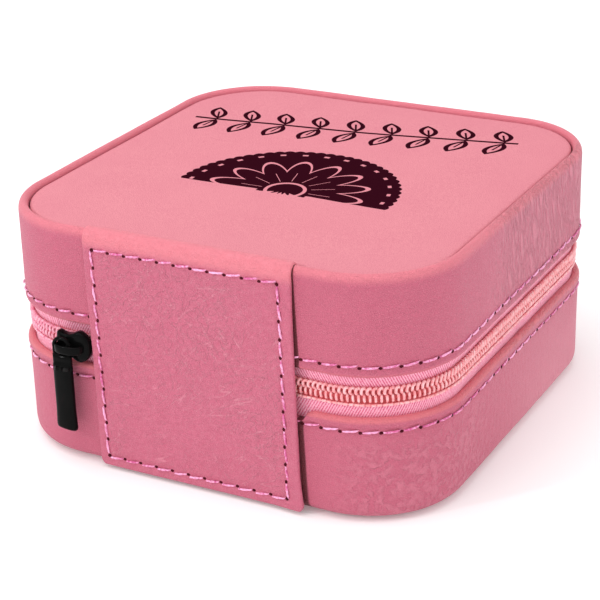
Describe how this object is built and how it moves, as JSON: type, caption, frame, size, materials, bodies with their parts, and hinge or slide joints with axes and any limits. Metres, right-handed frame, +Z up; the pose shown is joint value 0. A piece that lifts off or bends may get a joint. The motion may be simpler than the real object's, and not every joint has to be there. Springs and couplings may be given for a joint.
{
  "type": "jewellery case",
  "caption": "Square zip-round travel jewellery case in pink leatherette, with a hinged padded lid, ring rolls, dividers, lid pocket and necklace straps.",
  "frame": {"origin": "centre of the underside of the case, on the surface that it stands on", "axes": "+Z up, +Y towards the back where the leather hinge panel is, +X towards the side that the zip slider starts from"},
  "size_m": [0.1, 0.1066, 0.0539],
  "materials": {
    "side_leather": "satin grained leatherette",
    "top_leather": "smooth matt leatherette with a printed motif",
    "panel_leather": "satin creased leatherette",
    "strap_leather": "satin",
    "velvet": "short velvet pile",
    "pocket_cloth": "gathered velvet",
    "zip_tape": "woven tape",
    "zip_coil": "nylon coil",
    "black_metal": "gloss black",
    "snap_metal": "polished",
    "greyboard": "plain",
    "foam": "soft foam"
  },
  "bodies": {
    "base": {"base_bottom_cover": "side_leather", "base_wall_cover": "side_leather", "base_board": "greyboard", "base_wall_frame": "greyboard", "base_wall_lining": "velvet", "base_floor_lining": "velvet", "base_lip": "velvet", "ring_roll_1": "velvet", "ring_roll_2": "velvet", "ring_roll_3": "velvet", "ring_roll_4": "velvet", "ring_roll_5": "velvet", "ring_roll_6": "velvet", "ring_roll_7": "velvet", "ring_well_wall": "velvet", "divider_guides": "velvet", "zip_tape_lower": "zip_tape", "zip_coil_lower": "zip_coil", "zip_stop_lower": "zip_coil", "hinge_panel_base": "panel_leather", "hinge_panel_fold": "panel_leather", "hinge_lining": "velvet", "zip_tape_end": "zip_tape", "zip_coil_end": "zip_coil"},
    "lid": {"lid_wall_cover": "side_leather", "lid_rim_bead": "side_leather", "lid_wall_frame": "greyboard", "lid_wall_lining": "velvet", "lid_ceiling_lining": "velvet", "lid_board": "greyboard", "lid_foam_pad": "foam", "lid_top_panel": "top_leather", "lid_pocket": "pocket_cloth", "pocket_elastic": "pocket_cloth", "necklace_tab_anchors": "strap_leather", "snap_sockets": "snap_metal", "zip_tape_upper": "zip_tape", "zip_coil_upper": "zip_coil", "zip_stop_upper": "zip_coil", "hinge_panel_lid": "panel_leather"},
    "slider": {"slider_body": "black_metal", "slider_bridge": "black_metal"},
    "pull": {"pull_tab": "black_metal"},
    "front_divider": {"divider_front": "velvet"},
    "rear_divider": {"divider_rear": "velvet"},
    "strap_1": {"necklace_tab_1": "strap_leather", "snap_cap_1": "snap_metal"},
    "strap_2": {"necklace_tab_2": "strap_leather", "snap_cap_2": "snap_metal"},
    "strap_3": {"necklace_tab_3": "strap_leather", "snap_cap_3": "snap_metal"}
  },
  "joints": [
    {"name": "lid_hinge", "type": "hinge", "parent": "base", "child": "lid", "pos_m": [0, 0.0516, 0.0274], "axis": [-1, 0, 0], "range_deg": [0, 100], "deforming": ["hinge_panel_fold", "hinge_lining", "zip_tape_end", "zip_coil_end"]},
    {"name": "slider_travel", "type": "hinge", "parent": "base", "child": "slider", "pos_m": [0.0295, 0.0305, 0.0274], "axis": [0, 0, -1], "range_deg": [0, 90]},
    {"name": "pull_swing", "type": "hinge", "parent": "slider", "child": "pull", "pos_m": [0.03, 0.0542, 0.0274], "axis": [-1, 0, 0], "range_deg": [-150, 0]},
    {"name": "front_divider_lift", "type": "slide", "parent": "base", "child": "front_divider", "axis": [0, 0, 1], "range_m": [0, 0.016]},
    {"name": "rear_divider_lift", "type": "slide", "parent": "base", "child": "rear_divider", "axis": [0, 0, 1], "range_m": [0, 0.016]},
    {"name": "strap_1_swing", "type": "hinge", "parent": "lid", "child": "strap_1", "pos_m": [-0.024, -0.039, 0.04605], "axis": [-1, 0, 0], "range_deg": [0, 80]},
    {"name": "strap_2_swing", "type": "hinge", "parent": "lid", "child": "strap_2", "pos_m": [0, -0.039, 0.04605], "axis": [-1, 0, 0], "range_deg": [0, 80]},
    {"name": "strap_3_swing", "type": "hinge", "parent": "lid", "child": "strap_3", "pos_m": [0.024, -0.039, 0.04605], "axis": [-1, 0, 0], "range_deg": [0, 80]}
  ]
}
